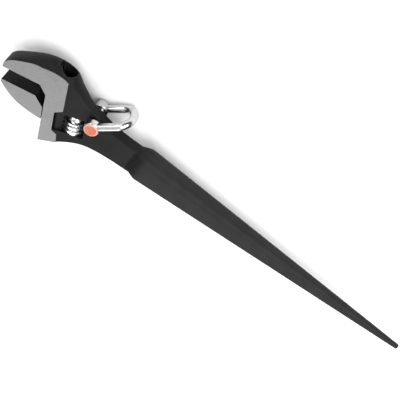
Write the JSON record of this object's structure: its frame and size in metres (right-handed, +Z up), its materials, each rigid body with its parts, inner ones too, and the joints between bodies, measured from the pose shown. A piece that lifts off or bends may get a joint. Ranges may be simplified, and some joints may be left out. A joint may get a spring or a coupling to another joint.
{
  "type": "adjustable construction wrench",
  "caption": "Adjustable wrench with a sliding jaw driven by a knurled worm, a long tapered spud handle and a tether shackle through its neck",
  "frame": {"origin": "bottom centre of the bounding box of the stored pose", "axes": "+X along the handle from the jaws to the spud tip, +Y towards the back of the fixed jaw, +Z up out of the front face"},
  "size_m": [0.407, 0.084, 0.0358],
  "materials": {
    "black_forging": "forged steel with a matt black oxide coating, ground bright on the jaw faces",
    "ground_steel": "satin ground faces over blackened steel",
    "bright_steel": "polished bright steel",
    "pin_steel": "blackened steel",
    "spring_steel": "bright spring wire",
    "shackle_steel": "polished stainless steel",
    "orange_seal": "orange sealing compound with a pale rim"
  },
  "bodies": {
    "frame": {"wrench_body": "black_forging", "knurl_pin": "pin_steel", "knurl_spring": "spring_steel"},
    "jaw": {"movable_jaw": "ground_steel"},
    "knurl": {"knurl_worm": "bright_steel"},
    "shackle": {"shackle_bow": "shackle_steel", "shackle_pin": "shackle_steel", "tamper_seal": "orange_seal"}
  },
  "joints": [
    {"name": "jaw_slide", "type": "slide", "parent": "frame", "child": "jaw", "axis": [0.2588, -0.9659, 0], "range_m": [-0.0135, 0.0242]},
    {"name": "knurl_spin", "type": "hinge", "parent": "frame", "child": "knurl", "pos_m": [-0.12722, -0.00564, 0.02053], "axis": [0.2588, -0.9659, 0], "range_deg": [-1940, 1084]},
    {"name": "shackle_swing", "type": "hinge", "parent": "frame", "child": "shackle", "pos_m": [-0.11439, 0.01093, 0.02053], "axis": [0.1392, 0, 0.9903], "range_deg": [-10, 80]}
  ],
  "couplings": [
    {"joint": "knurl_spin", "follows": "jaw_slide", "rad_per_m": -1396.3}
  ]
}
